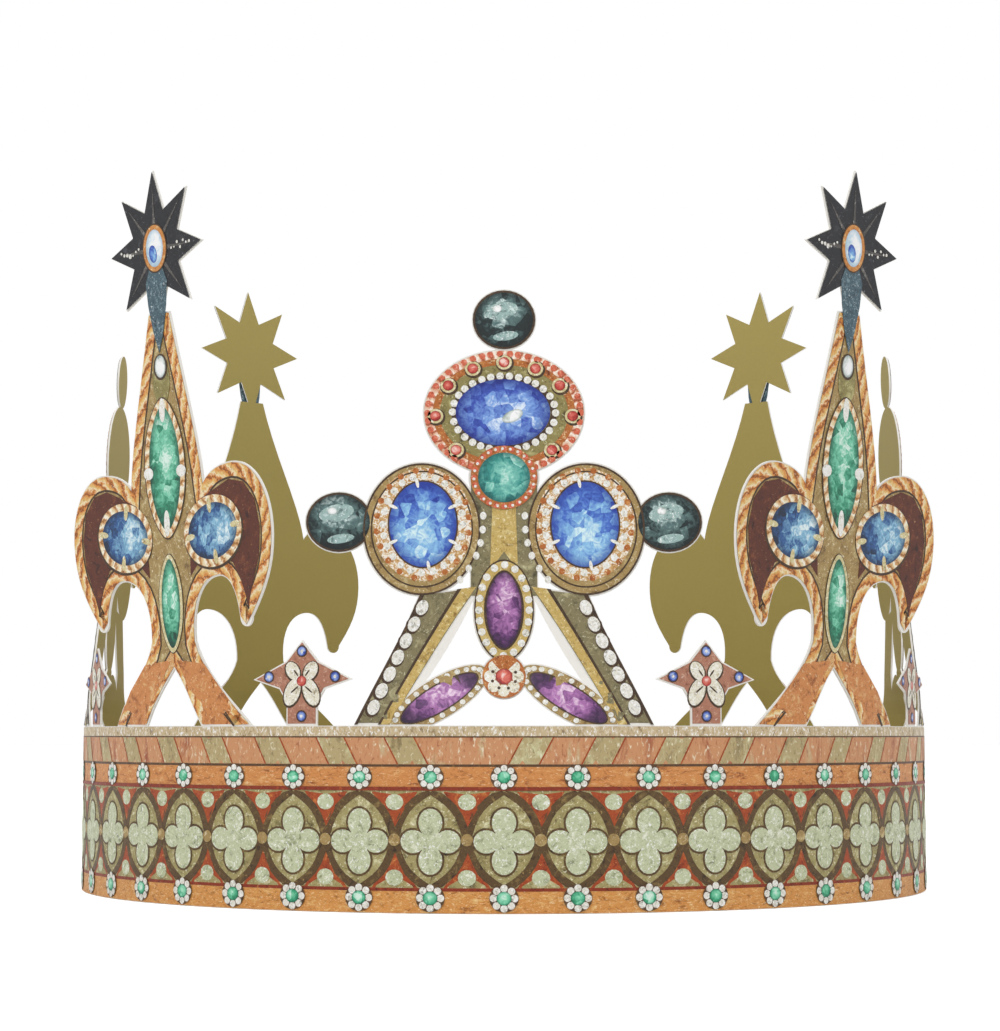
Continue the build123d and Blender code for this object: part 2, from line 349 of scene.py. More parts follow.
class Ink(Enum):
    """Every finish that lies on the card's outside."""

    WHITE_PEARL = PaintedInk("ink_white_pearl", "#8F8C80", "#E9E6DB", "#FFFFFF", 0.9, "#FFFFFF", 0.5, 0.5)
    CREAM_PETAL = PaintedInk("ink_cream_petal", "#8F7F5C", "#E9E3CE", "#FBFAF2", 1.3, "#FFFFFF", 0.45, 0.5)
    SAGE_FOIL = PaintedInk("ink_sage_quatrefoil", "#7E8560", "#C6CDA8", "#EEF0DC", 1.6, "#FFFFFF", 0.35, 0.5)
    DARK_BAR = PaintedInk("ink_dark_tracery", "#2E2114", "#5C4527", "#8C7444", 1.5, "#C9A765", 0.06)
    RUST_WEDGE = PaintedInk("ink_rust_wedge", "#6A2410", "#A8481F", "#CF7A3A", 1.6, "#E2B070", 0.1)
    LATTICE_GROUND = PaintedInk("ink_lattice_ground", "#5A4E2C", "#A79B66", "#D8D3A6", 2.2, "#F3EFD2", 0.3)
    GOLD_STRIP = PaintedInk("ink_gold_strip", "#9A5B26", "#D9974E", "#EBC27E", 2.0, "#F7E3B4", 0.3, 0.6,
                            (1.0, 1.0, 2.5))
    MOULDING = PaintedInk("ink_orange_moulding", "#8F4A20", "#D58E4E", "#E8B67A", 2.6, "#F4DDB2", 0.22, 0.6,
                          (1.0, 1.0, 2.5))
    UPPER_PANEL = PaintedInk("ink_upper_panel", "#A2583A", "#CE9468", "#C9BE96", 4.2, "#EFE3C6", 0.25, 0.6,
                             (1.0, 1.0, 0.35))
    GREEN_PANEL = PaintedInk("ink_grey_green_panel", "#7C6A44", "#B9A678", "#D5D2A6", 3.0, "#F2EED2", 0.25,
                             0.6, (1.0, 1.0, 0.5))
    TOP_BEADING = PaintedInk("ink_top_beading", "#8A7350", "#CDB892", "#F0E8D2", 1.0, "#FFFFFF", 0.4, 0.5,
                             (1.0, 1.0, 0.5))
    RED_LINE = PaintedInk("ink_red_line", "#4A1A10", "#8A3218", "#B2562C", 1.2, "#D08A50", 0.05)
    BROWN_LINE = PaintedInk("ink_brown_line", "#3A2A1A", "#5A4028", "#7C6038", 1.0, "#A98A58", 0.05)
    TAN_GROUND = PaintedInk("ink_tan_ground", "#6E5432", "#A98D58", "#D8C795", 2.4, "#F1E8C8", 0.25)
    OLIVE_GROUND = PaintedInk("ink_olive_ground", "#4E4324", "#8F8450", "#C4BC83", 2.6, "#E6E0B4", 0.18)
    RUST_RING = PaintedInk("ink_rust_ring", "#6A2E16", "#B5692F", "#D99A55", 1.6, "#F1D8A8", 0.3)
    SPECKLED_RING = PaintedInk("ink_speckled_ring", "#8A4A1C", "#CFA468", "#EEE3CC", 1.3, "#FFFDF4",
                               0.62, 0.7)
    CORAL_BEAD = PaintedInk("ink_coral_bead", "#93331F", "#D4694B", "#F0A58A", 0.9, "#FBD9C8", 0.25)
    GREY_LEG = PaintedInk("ink_grey_leg", "#4C4732", "#857B59", "#B5AD84", 2.2, "#DAD5B4", 0.2)
    GOLD_EDGE = PaintedInk("ink_gold_edge", "#8A6A2E", "#C9AC64", "#E8D9A0", 1.8, "#F7EFC8", 0.25)
    MAROON = PaintedInk("ink_maroon_recess", "#2E1410", "#5C2C1C", "#84482A", 1.8, "#B98A60", 0.08)
    COLLET = PaintedInk("ink_cream_collet", "#8E7A46", "#D9CB97", "#F5EED0", 1.2, "#FFFFF0", 0.35)
    GOLD_COLLET = PaintedInk("ink_gold_collet", "#8A4E22", "#D08A45", "#EBC78A", 1.4, "#F8E8C2", 0.25)
    WHITE_CLAW = PaintedInk("ink_white_claw", "#B9B6A6", "#F1EFE6", "#FFFFFF", 1.0, "#FFFFFF", 0.5)
    STEM = PaintedInk("ink_orange_stem", "#8E4A22", "#D28B50", "#E5BE86", 2.4, "#F4DDB2", 0.2)
    STAR = PaintedInk("ink_black_star", "#0E0F12", "#1F2024", "#3B3C42", 2.0, "#8C8F97", 0.07, 0.45)
    STAR_RIDGE = PaintedInk("ink_grey_ridge", "#2B2A2C", "#57534F", "#8D8884", 1.0, "#C4C2BE", 0.2)
    DROP = PaintedInk("ink_blue_grey_drop", "#1E2A32", "#48606B", "#8FA9B2", 1.1, "#DDE8EA", 0.22, 0.4)
    TERRACOTTA = PaintedInk("ink_terracotta", "#7C4A38", "#B17A62", "#CFA48C", 1.4, "#E6CFC0", 0.15)
    SHADOW = PaintedInk("ink_shadow_line", "#2A1E14", "#463322", "#6A5236", 1.0, "#8F7650", 0.04)
    PEARL_SHEEN = PaintedInk("ink_pearl_sheen", "#2E4646", "#9DB9B4", "#DDEEEA", 1.6, "#FFFFFF", 0.3, 0.5)
    BLACK_PEARL = PaintedStone("stone_black_pearl", "#0C1414", "#1B2A2B", "#5F7C7B", "#DDEEEA", 2.4,
                               (-0.1, 0.35))
    SAPPHIRE = PaintedStone("stone_sapphire", "#1B2478", "#3E58B8", "#7FA8E6", "#E6F2FF", 3.4, (0.15, -0.1))
    PALE_SAPPHIRE = PaintedStone("stone_pale_sapphire", "#243A9A", "#4C74CC", "#8FC4EC", "#DDF6FA", 3.4,
                                 (0.0, -0.3))
    BLUE_STONE = PaintedStone("stone_blue", "#12243C", "#2C5A96", "#8CC0DC", "#EAF8FA", 2.6, (0.35, 0.0))
    EMERALD = PaintedStone("stone_emerald", "#0B3E30", "#2C8E6C", "#7FD3B2", "#E4FAEE", 2.6, (0.1, 0.2))
    SMALL_EMERALD = PaintedStone("stone_small_emerald", "#14654A", "#3FAE80", "#8FE0BC", "#DFF8EA", 1.4,
                                 (0.0, 0.2))
    TEAL = PaintedStone("stone_teal", "#145454", "#3A968E", "#8AD2C2", "#E2F7EE", 3.0, (0.1, 0.1))
    AMETHYST = PaintedStone("stone_amethyst", "#2A1634", "#693A72", "#B579B4", "#F2D8EC", 2.4, (0.1, 0.2))
    RUBY = PaintedStone("stone_ruby", "#7A1C1A", "#BE3C34", "#E07A6A", "#FBD8CE", 1.4, (-0.1, 0.2))
    BLUE_BEAD = PaintedStone("stone_blue_bead", "#1C2C78", "#3B55B0", "#9DB4EC", "#F4F8FF", 1.2, (0.0, 0.0))
    OPAL = PaintedStone("stone_opal", "#A9C7DC", "#D5E8F2", "#FFFFFF", "#FFFFFF", 1.8, (0.3, 0.3))
    CLEAR = PaintedStone("stone_clear", "#8FA09A", "#DDE4E0", "#FFFFFF", "#FFFFFF", 1.8, (0.0, 0.0))
    ROPE = RopeInk("ink_rope_moulding")
    BEAD_ROPE = RopeInk("ink_beaded_rope", ("#9A4A2C", "#D98E6A", "#F2D9C2", "#FFF6EA"), 1.9, 0.0)
    COLLET_ROPE = RopeInk("ink_collet_rope", ("#9A6230", "#D9A66A", "#F3E3BC", "#FFFBEA"), 2.6, 0.3)


class InkShop:
    """Builds each finish once and hands it out."""

    def __init__(self) -> None:
        """Start with nothing built."""
        self.made: dict[Ink, bpy.types.Material] = {}

    def get(self, ink: Ink) -> bpy.types.Material:
        """Give a finish's material, built on first use."""
        if ink not in self.made:
            self.made[ink] = ink.value.build()
        return self.made[ink]


def bezier(*controls: Point, steps: int = 8) -> Outline:
    """Points along a cubic curve, without its first.

    Args:
        controls: four control points.
        steps: how many points.

    Returns:
        The points.
    """
    a, b, c, d = (Vector(p) for p in controls)
    points = []
    for step in range(1, steps + 1):
        t = step / steps
        p = a * (1 - t) ** 3 + b * 3 * t * (1 - t) ** 2 + c * 3 * t * t * (1 - t) + d * t ** 3
        points.append((p.x, p.y))
    return points


def mirror(points: Outline) -> Outline:
    """The same points on the left of the axis, in reverse order."""
    return [(-x, y) for x, y in reversed(points)]


def inset(outline: Outline, amount: float) -> Outline:
    """Move an anticlockwise outline inwards.

    Args:
        outline: the closed outline.
        amount: how far, in millimetres.

    Returns:
        The smaller outline, point for point.
    """
    moved = []
    count = len(outline)
    for index, point in enumerate(outline):
        before = Vector(point) - Vector(outline[index - 1])
        after = Vector(outline[(index + 1) % count]) - Vector(point)
        before.normalize()
        after.normalize()
        normal = Vector((-before.y - after.y, before.x + after.x))
        if normal.length < 1e-6:
            normal = Vector((-before.y, before.x))
        normal.normalize()
        share = max(0.45, normal.dot(Vector((-before.y, before.x))))
        moved.append((point[0] + normal.x * amount / share, point[1] + normal.y * amount / share))
    return moved


def lens(width: float, height: float, count: int = 28, point: float = 0.0) -> Outline:
    """A closed oval about the origin, more pointed at its two ends if asked.

    Args:
        width: half the width.
        height: half the height.
        count: number of points.
        point: 0 for an ellipse, up to 1 for a leaf with sharp ends up and down.

    Returns:
        The outline, anticlockwise.
    """
    outline = []
    for step in range(count):
        turn = 2 * math.pi * step / count
        narrow = 1 - point * abs(math.sin(turn)) ** 3 * 0.55
        outline.append((width * math.cos(turn) * narrow, height * math.sin(turn)))
    return outline


def moved(outline: Outline, across: float, up: float, tilt: float = 0.0) -> Outline:
    """Turn an outline about its own origin by degrees, then move it."""
    c, s = math.cos(math.radians(tilt)), math.sin(math.radians(tilt))
    return [(across + x * c - y * s, up + x * s + y * c) for x, y in outline]


class Surface:
    """A stretch of the card's outside, which carries flat print into space."""

    def place(self, across: float, up: float, lift: float) -> Vector:
        """Give the point in metres for a place on the flat sheet, lifted off the card."""
        raise NotImplementedError


@dataclass
class BandSurface(Surface):
    """The ring's outside: across is the arc length from the front, to the right as seen from outside."""

    lap_half: float = 9.0      # half the glued lap at the back
    lap_ramp: float = 6.0
    card: float = 0.4

    def place(self, across: float, up: float, lift: float) -> Vector:
        """Give the point in metres on the ring, climbing over the lap at the back."""
        turn = across / RING_RADIUS
        from_back = math.pi * RING_RADIUS - abs(across)
        radius = RING_RADIUS + lift
        if from_back < self.lap_half:
            radius += self.card
        elif across > 0 and from_back < self.lap_half + self.lap_ramp:
            radius += self.card * (1 - (from_back - self.lap_half) / self.lap_ramp)
        return Vector((radius * math.sin(turn), -radius * math.cos(turn), up)) * MM


@dataclass
class ProngSurface(Surface):
    """A prong's outside: curved with the ring at its foot and flat above, leaning outwards or inwards."""

    azimuth: float             # degrees from the front, to the right as seen from the front
    foot: float                # middle of a foot, from the prong's axis
    lean: float = 0.0

    def seat(self, across: float, height: float) -> float:
        """Distance of the card's outside from the ring's axis at one of the forming heights."""
        share = min(1.0, height / FLATTEN_HEIGHT)
        curve = (1 - share * share * (3 - 2 * share)) / RING_RADIUS
        middle = math.sqrt(RING_RADIUS ** 2 - self.foot ** 2) + math.tan(math.radians(self.lean)) * height
        if curve < 1e-6:
            return middle
        radius = 1 / curve
        return middle - math.sqrt(radius ** 2 - self.foot ** 2) + math.sqrt(radius ** 2 - across ** 2)

    def place(self, across: float, up: float, lift: float) -> Vector:
        """Give the point in metres on the prong's outside."""
        step = FLATTEN_HEIGHT / FLATTEN_STEPS
        if up < FLATTEN_HEIGHT:
            low = math.floor(up / step) * step
            share = (up - low) / step
            reach = self.seat(across, low) * (1 - share) + self.seat(across, low + step) * share
        else:
            reach = self.seat(across, up)
        reach += lift
        turn = math.radians(self.azimuth)
        x = reach * math.sin(turn) + across * math.cos(turn)
        y = -reach * math.cos(turn) + across * math.sin(turn)
        return Vector((x, y, BAND_HEIGHT + up)) * MM


@dataclass
class Print:
    """One sheet of ink on one stretch of card, built up patch by patch from the lowest layer."""

    name: str
    surface: Surface
    shop: InkShop
    grid: float = 3.0          # spacing of the points inside a patch
    verts: list[Vector] = field(default_factory=list)
    faces: list[tuple[int, ...]] = field(default_factory=list)
    slots: list[int] = field(default_factory=list)
    uvs: list[list[Point]] = field(default_factory=list)
    inks: list[Ink] = field(default_factory=list)

    def slot_of(self, ink: Ink) -> int:
        """Give the ink's material index on this sheet."""
        if ink not in self.inks:
            self.inks.append(ink)
        return self.inks.index(ink)

    def add(self, points: Outline, cells: list[tuple[int, ...]], uv: Outline, ink: Ink,
            layer: float) -> None:
        """Add a patch as a closed skin of ink, one layer thick.

        Args:
            points: flat places of its vertices.
            cells: its faces, anticlockwise.
            uv: UV place of each vertex.
            ink: its finish.
            layer: how many layers up it lies.
        """
        base = len(self.verts)
        count = len(points)
        top = INK_BASE + INK_STEP * layer
        under = top - INK_STEP * 0.8
        self.verts += [self.surface.place(x, y, top) for x, y in points]
        self.verts += [self.surface.place(x, y, under) for x, y in points]
        slot = self.slot_of(ink)
        edges: dict[tuple[int, int], int] = {}
        for cell in cells:
            self.faces.append(tuple(base + i for i in cell))
            self.faces.append(tuple(base + count + i for i in reversed(cell)))
            self.uvs += [[uv[i] for i in cell], [uv[i] for i in reversed(cell)]]
            self.slots += [slot, slot]
            for a, b in zip(cell, cell[1:] + cell[:1]):
                edges[(a, b)] = 1
        for a, b in edges:
            if (b, a) not in edges:
                self.faces.append((base + b, base + a, base + count + a, base + count + b))
                self.uvs.append([uv[b], uv[a], uv[a], uv[b]])
                self.slots.append(slot)

    def oval(self, ink: Ink, layer: float, across: float, up: float, width: float, height: float,
             tilt: float = 0.0, point: float = 0.0, count: int = 28) -> None:
        """Print a filled oval, with the UV map running from rim to rim.

        Args:
            ink: its finish.
            layer: how many layers up it lies.
            across: centre across.
            up: centre up.
            width: half-width.
            height: half-height.
            tilt: turn in degrees, anticlockwise.
            point: how pointed its ends are.
            count: points round the rim.
        """
        rim = lens(width, height, count, point)
        rings = max(1, min(4, round(max(width, height) / self.grid)))
        points: Outline = [(0.0, 0.0)]
        for ring in range(1, rings + 1):
            points += [(x * ring / rings, y * ring / rings) for x, y in rim]
        uv = [(0.5 + 0.5 * x / width, 0.5 + 0.5 * y / height) for x, y in points]
        cells: list[tuple[int, ...]] = [(0, 1 + i, 1 + (i + 1) % count) for i in range(count)]
        for ring in range(1, rings):
            inner, outer = 1 + (ring - 1) * count, 1 + ring * count
            for i in range(count):
                j = (i + 1) % count
                cells.append((inner + i, outer + i, outer + j, inner + j))
        self.add(moved(points, across, up, tilt), cells, uv, ink, layer)

    def ring(self, ink: Ink, layer: float, across: float, up: float, outer: Point, inner: Point,
             tilt: float = 0.0, point: float = 0.0, count: int = 40) -> None:
        """Print a ring between two ovals, with the UV map running round it.

        Args:
            ink: its finish.
            layer: how many layers up it lies.
            across: centre across.
            up: centre up.
            outer: outer half-width and half-height.
            inner: inner half-width and half-height.
            tilt: turn in degrees.
            point: how pointed its ends are.
            count: points round the rim.
        """
        outside = moved(lens(*outer, count, point), across, up, tilt)
        inside = moved(lens(*inner, count, point), across, up, tilt)
        self.strip(ink, layer, outside, inside)

    def strip(self, ink: Ink, layer: float, outside: Outline, inside: Outline, closed: bool = True) -> None:
        """Print a strip between two lines of as many points; its U is its length in hundredths.

        Args:
            ink: its finish.
            layer: how many layers up it lies.
            outside: one side, anticlockwise.
            inside: the other side.
            closed: whether the strip runs on into its start.
        """
        count = len(outside)
        along = [0.0]
        for a, b in zip(outside, outside[1:]):
            along.append(along[-1] + math.dist(a, b))
        points: Outline = []
        uv: Outline = []
        for index in range(count):
            points += [outside[index], inside[index]]
            uv += [(along[index] / 100, 0.0), (along[index] / 100, 1.0)]
        cells = [(2 * i, 2 * i + 2, 2 * i + 3, 2 * i + 1) for i in range(count - 1)]
        if closed:
            cells.append((2 * count - 2, 0, 1, 2 * count - 1))
        self.add(points, cells, uv, ink, layer)

    def shape(self, ink: Ink, layer: float, outline: Outline) -> None:
        """Print a filled shape of any outline.

        Args:
            ink: its finish.
            layer: how many layers up it lies.
            outline: the closed outline, anticlockwise.
        """
        xs = [p[0] for p in outline]
        ys = [p[1] for p in outline]
        middle = ((min(xs) + max(xs)) / 2, (min(ys) + max(ys)) / 2)
        half = (max((max(xs) - min(xs)) / 2, 0.1), max((max(ys) - min(ys)) / 2, 0.1))
        coords = [Vector(p) for p in outline]
        count = len(outline)
        for i in range(1, int(2 * half[0] / self.grid) + 1):
            for j in range(1, int(2 * half[1] / self.grid) + 1):
                spot = (min(xs) + i * self.grid, min(ys) + j * self.grid)
                if inside_outline(spot, outline):
                    coords.append(Vector(spot))
        found = delaunay_2d_cdt(coords, [], [list(range(count))], 1, 1e-4)
        points = [(v.x, v.y) for v in found[0]]
        uv = [(0.5 + 0.5 * (x - middle[0]) / half[0], 0.5 + 0.5 * (y - middle[1]) / half[1])
              for x, y in points]
        self.add(points, [tuple(f) for f in found[2]], uv, ink, layer)

    def beads(self, ink: Ink, layer: float, across: float, up: float, reach: Point, count: int, size: float,
              tilt: float = 0.0, start: float = 0.0, point: float = 0.0) -> None:
        """Print a ring of round beads.

        Args:
            ink: their finish.
            layer: how many layers up they lie.
            across: centre of the ring across.
            up: centre up.
            reach: the ring's half-width and half-height.
            count: number of beads.
            size: radius of a bead.
            tilt: turn of the ring in degrees.
            start: turn of the first bead, as a share of the pitch.
            point: how pointed the ring's ends are.
        """
        path = moved(lens(reach[0], reach[1], 240, point), across, up, tilt)
        lengths = [math.dist(path[i - 1], path[i]) for i in range(len(path))]
        pitch = sum(lengths) / count
        walked, target = 0.0, pitch * start
        for index, length in enumerate(lengths):
            walked += length
            if walked >= target and count > 0:
                self.oval(ink, layer, *path[index], size, size, count=10)
                target += pitch
                count -= 1

    def build(self, slot: str) -> bpy.types.Object:
        """Make the object, dress it and fix it to the crown.

        Args:
            slot: not used.

        Returns:
            The object.
        """
        mesh = bpy.data.meshes.new(self.name)
        mesh.from_pydata([tuple(v) for v in self.verts], [], self.faces)
        for ink in self.inks:
            mesh.materials.append(self.shop.get(ink))
        layer = mesh.uv_layers.new(name="stone")
        for polygon, slot_index, uv in zip(mesh.polygons, self.slots, self.uvs):
            polygon.material_index = slot_index
            for loop, place in zip(polygon.loop_indices, uv):
                layer.data[loop].uv = place
        mesh.update()
        piece = bpy.data.objects.new(self.name, mesh)
        bpy.context.scene.collection.objects.link(piece)
        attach(piece, "root")
        LOG.info("%s: %d faces in %d inks", self.name, len(self.faces), len(self.inks))
        return piece


def inside_outline(spot: Point, outline: Outline) -> bool:
    """Tell whether a spot lies inside a closed outline."""
    x, y = spot
    inside = False
    for (ax, ay), (bx, by) in zip(outline, outline[1:] + outline[:1]):
        if (ay > y) != (by > y) and x < ax + (y - ay) * (bx - ax) / (by - ay):
            inside = not inside
    return inside


def cut_at_foot(outline: Outline, floor: float = 0.2) -> Outline:
    """Cut an outline off along the band's upper edge.

    Args:
        outline: the closed outline.
        floor: the lowest height that stays.

    Returns:
        The part of the outline above that height.
    """
    kept = []
    for (ax, ay), (bx, by) in zip(outline, outline[1:] + outline[:1]):
        if ay >= floor:
            kept.append((ax, ay))
        if (ay >= floor) != (by >= floor):
            share = (floor - ay) / (by - ay)
            kept.append((ax + (bx - ax) * share, floor))
    return kept


def between(first: Outline, second: Outline, share: float) -> Outline:
    """Give the line that lies a share of the way from one line to another."""
    return [((1 - share) * a[0] + share * b[0], (1 - share) * a[1] + share * b[1])
            for a, b in zip(first, second)]


def clamped(line: Outline, low: float, high: float) -> Outline:
    """Keep a line's heights between two bounds."""
    return [(x, min(max(y, low), high)) for x, y in line]


@dataclass
class Trefoil:
    """The domed prong: three jewelled discs, three dark pearls and a flower of petals on two legs."""

    azimuth: float
    lean: float = 0.0
    foot: Point = (20.8, 28.1)
    top_disc: tuple[float, float, float] = (58.6, 15.3, 12.1)     # height, half-width, half-height
    top_ball: tuple[float, float, float] = (76.3, 6.1, 5.8)
    side_disc: tuple[float, float, float, float] = (15.4, 36.7, 11.3, 12.7)
    side_ball: tuple[float, float, float, float] = (30.9, 38.0, 6.4, 5.8)
    hub: tuple[float, float] = (46.4, 6.3)
    petal: tuple[float, float, float] = (21.5, 5.9, 9.8)
    flower: tuple[float, float] = (9.1, 4.3)
    low_petal: tuple[float, float, float, float] = (12.0, 5.1, 10.6, 4.0)
    low_tilt: float = 31.0
    leg_pearls: int = 7

    def leg(self, side: int) -> tuple[Outline, Outline]:
        """Give a leg's outer and inner edge, from its top down to its foot."""
        outer = [(15.9, 24.5)] + bezier((15.9, 24.5), (18.8, 17.5), (23.6, 9.0), (self.foot[1], 0.2))
        inner = [(4.5, 26.0)] + bezier((4.5, 26.0), (10.0, 18.5), (15.5, 9.5), (self.foot[0], 0.2))
        return [(side * x, y) for x, y in outer], [(side * x, y) for x, y in inner]

    def legs(self, sheet: Print) -> None:
        """Print both legs, with their gold inner edge and row of pearls."""
        for side in (-1, 1):
            outer, inner = self.leg(side)
            outline = inner + outer[::-1] if side > 0 else outer + inner[::-1]
            sheet.shape(Ink.GREY_LEG, 1, outline_in(outline))
            edge, shade, line, rim, last = (between(inner, outer, share)
                                            for share in (0.06, 0.30, 0.37, 0.90, 0.98))
            open_strip(sheet, Ink.GOLD_EDGE, 2, shade, edge, side)
            open_strip(sheet, Ink.SHADOW, 2.3, line, shade, side)
            open_strip(sheet, Ink.SHADOW, 2.3, last, rim, side)
            for step in range(self.leg_pearls):
                share = step / (self.leg_pearls - 1)
                across, up = side * (24.3 - 9.0 * share), 3.4 + 18.6 * share
                sheet.oval(Ink.SHADOW, 3, across + side * 0.2, up - 0.2, 1.35, 1.75, side * 26, count=14)
                sheet.oval(Ink.WHITE_PEARL, 4, across, up, 1.1, 1.5, side * 26, count=14)

    def yoke(self, sheet: Print) -> None:
        """Print the web between the discs: a gold column between two dark bands of small pearls."""
        sheet.shape(Ink.GREY_LEG, 0.5, [(-6.2, 24.2), (6.2, 24.2), (6.2, 46), (-6.2, 46)])
        sheet.shape(Ink.GOLD_EDGE, 1.5, [(-2.6, 29), (0, 32.5), (2.6, 29), (2.2, 41), (-2.2, 41)])
        for side in (-1, 1):
            for across, up in ((3.9, 39.2), (4.0, 36.6), (4.4, 34.1), (5.2, 31.7), (6.6, 29.3), (8.2, 27.2)):
                sheet.oval(Ink.WHITE_PEARL, 5, side * across, up, 0.62, 0.75, count=10)

    def top(self, sheet: Print) -> None:
        """Print the top disc: a sapphire in pearls, set about with rubies in a beaded rim."""
        up, width, height = self.top_disc
        sheet.oval(Ink.OLIVE_GROUND, 2, 0, up, width - 0.3, height - 0.3, count=64)
        sheet.ring(Ink.BEAD_ROPE, 3, 0, up, (width - 0.3, height - 0.3),
                   (width - 1.9, height - 1.8), count=72)
        sheet.ring(Ink.RUST_RING, 3, 0, up, (width - 1.9, height - 1.8),
                   (width - 3.2, height - 3.0), count=60)
        sheet.beads(Ink.CORAL_BEAD, 4, 0, up, (width - 0.9, height - 0.9), 46, 0.62)
        sheet.ring(Ink.SHADOW, 3.4, 0, up, (9.9, 7.2), (8.8, 6.1), count=44)
        sheet.beads(Ink.WHITE_PEARL, 4, 0, up, (9.7, 7.0), 30, 0.72)
        sheet.oval(Ink.SAPPHIRE, 5, -0.2, up + 0.1, 8.9, 6.3, count=44)
        sheet.oval(Ink.CLEAR, 6, 1.6, up - 0.6, 2.1, 1.1, 24, count=16)
        for across, lift in ((0, 9.6), (5.9, 8.4), (10.5, 5.2), (12.9, -0.6), (9.0, -7.0)):
            for side in (-1, 1) if across else (1,):
                sheet.oval(Ink.SHADOW, 3.6, side * across + 0.15, up + lift - 0.2, 1.75, 1.65, count=14)
                sheet.oval(Ink.COLLET, 4, side * across, up + lift, 1.5, 1.4, count=14)
                sheet.oval(Ink.RUBY, 5, side * across, up + lift, 1.05, 1.0, count=12)
        hub_up, hub = self.hub
        sheet.oval(Ink.RUST_RING, 6.5, 0, hub_up, hub, hub - 0.3, count=36)
        sheet.beads(Ink.CORAL_BEAD, 7.5, 0, hub_up, (hub - 0.65, hub - 0.85), 24, 0.55)
        sheet.beads(Ink.WHITE_PEARL, 8.4, 0, hub_up, (hub - 0.65, hub - 0.85), 24, 0.28, start=0.2)
        sheet.oval(Ink.TEAL, 8, 0, hub_up, hub - 1.4, hub - 1.6, count=32)

    def dark_pearl(self, sheet: Print, across: float, up: float, width: float, height: float) -> None:
        """Print one dark pearl with its sheen and the light under it."""
        sheet.oval(Ink.SHADOW, 2, across, up, width - 0.2, height - 0.2, count=32)
        sheet.oval(Ink.BLACK_PEARL, 3, across, up, width - 0.6, height - 0.6, count=30)
        sheet.oval(Ink.PEARL_SHEEN, 4, across - 0.5, up + 1.7, width * 0.52, height * 0.28, 12, count=18)
        sheet.oval(Ink.PEARL_SHEEN, 4, across + 0.3, up - 3.1, width * 0.40, height * 0.15, 8, count=14)
        sheet.oval(Ink.CLEAR, 5, across - 1.3, up + 2.1, width * 0.15, height * 0.13, 0, count=10)

    def sides(self, sheet: Print) -> None:
        """Print the two side discs, each a sapphire in a speckled ring."""
        for side in (-1, 1):
            disc, up, width, height = self.side_disc
            across = side * disc
            sheet.oval(Ink.TAN_GROUND, 2.5, across, up, width - 0.3, height - 0.3, count=56)
            for outer, inner in ((0.3, 0.65), (1.7, 2.0)):
                sheet.ring(Ink.SHADOW, 3.4, across, up, (width - outer, height - outer),
                           (width - inner, height - inner), count=60)
            sheet.ring(Ink.SPECKLED_RING, 3.3, across - side * 0.2, up + 0.9,
                       (9.3, 10.6), (6.4, 8.0), count=52)
            sheet.beads(Ink.WHITE_PEARL, 4, across - side * 0.2, up + 0.9, (7.5, 9.1), 24, 0.68)
            sheet.beads(Ink.RUST_RING, 4.3, across - side * 0.2, up + 0.9, (8.7, 10.2), 20, 0.6, start=0.5)
            sheet.ring(Ink.SHADOW, 4.5, across - side * 0.2, up + 0.9, (6.6, 8.3), (6.2, 7.9), count=44)
            sheet.oval(Ink.PALE_SAPPHIRE, 5, across - side * 0.2, up + 0.9, 6.3, 8.0, count=44)
            for turn in (25, 100, 155, 205, 280, 335):
                angle = math.radians(turn)
                spot = (across - side * 0.2 + 6.2 * math.cos(angle), up + 0.9 + 7.9 * math.sin(angle))
                sheet.oval(Ink.WHITE_CLAW, 6, *spot, 1.0, 0.32, turn, count=10)
            ball, ball_up, ball_width, ball_height = self.side_ball
            self.dark_pearl(sheet, side * ball, ball_up, ball_width, ball_height)

    def petals(self, sheet: Print) -> None:
        """Print the upright petal, the two low ones and the flower between them."""
        up, width, height = self.petal
        sheet.oval(Ink.GOLD_EDGE, 3, 0, up, width - 0.3, height - 0.3, count=44)
        sheet.ring(Ink.SHADOW, 3.6, 0, up, (width - 0.3, height - 0.3),
                   (width - 0.6, height - 0.6), count=48)
        sheet.beads(Ink.WHITE_PEARL, 4.5, 0, up, (width - 1.2, height - 1.3), 20, 0.72)
        sheet.ring(Ink.SHADOW, 4, 0, up, (3.75, 7.5), (3.1, 6.9), point=0.3, count=40)
        sheet.oval(Ink.AMETHYST, 5, 0, up, 3.3, 7.1, point=0.3, count=36)
        for side in (-1, 1):
            across, low_up, length, half = self.low_petal
            tilt = -side * self.low_tilt
            for ink, layer, reach, rise in ((Ink.TAN_GROUND, 1.5, length - 0.3, half - 0.3),
                                            (Ink.SHADOW, 2.4, length - 2.2, half - 1.4),
                                            (Ink.AMETHYST, 3.2, length - 2.5, half - 1.7)):
                leaf = cut_at_foot(moved(lens(reach, rise, 40), side * across, low_up, tilt), 0.25)
                sheet.shape(ink, layer, leaf)
            for step in range(26):
                turn = 2 * math.pi * step / 26
                x, y = (length - 1.2) * math.cos(turn), (half - 0.95) * math.sin(turn)
                spot = moved([(x, y)], side * across, low_up, tilt)[0]
                if spot[1] > 0.9:
                    sheet.oval(Ink.WHITE_PEARL, 3.4, *spot, 0.55, 0.5, count=10)
        bloom_up, bloom = self.flower
        sheet.oval(Ink.RUST_RING, 6, 0, bloom_up, bloom - 0.25, bloom - 0.25, count=28)
        sheet.beads(Ink.CREAM_PETAL, 7, 0, bloom_up, (2.6, 2.6), 8, 1.15)
        sheet.beads(Ink.SHADOW, 7.6, 0, bloom_up, (2.3, 2.3), 8, 0.3, start=0.5)
        sheet.oval(Ink.RUBY, 8, 0, bloom_up, 1.6, 1.5, count=16)

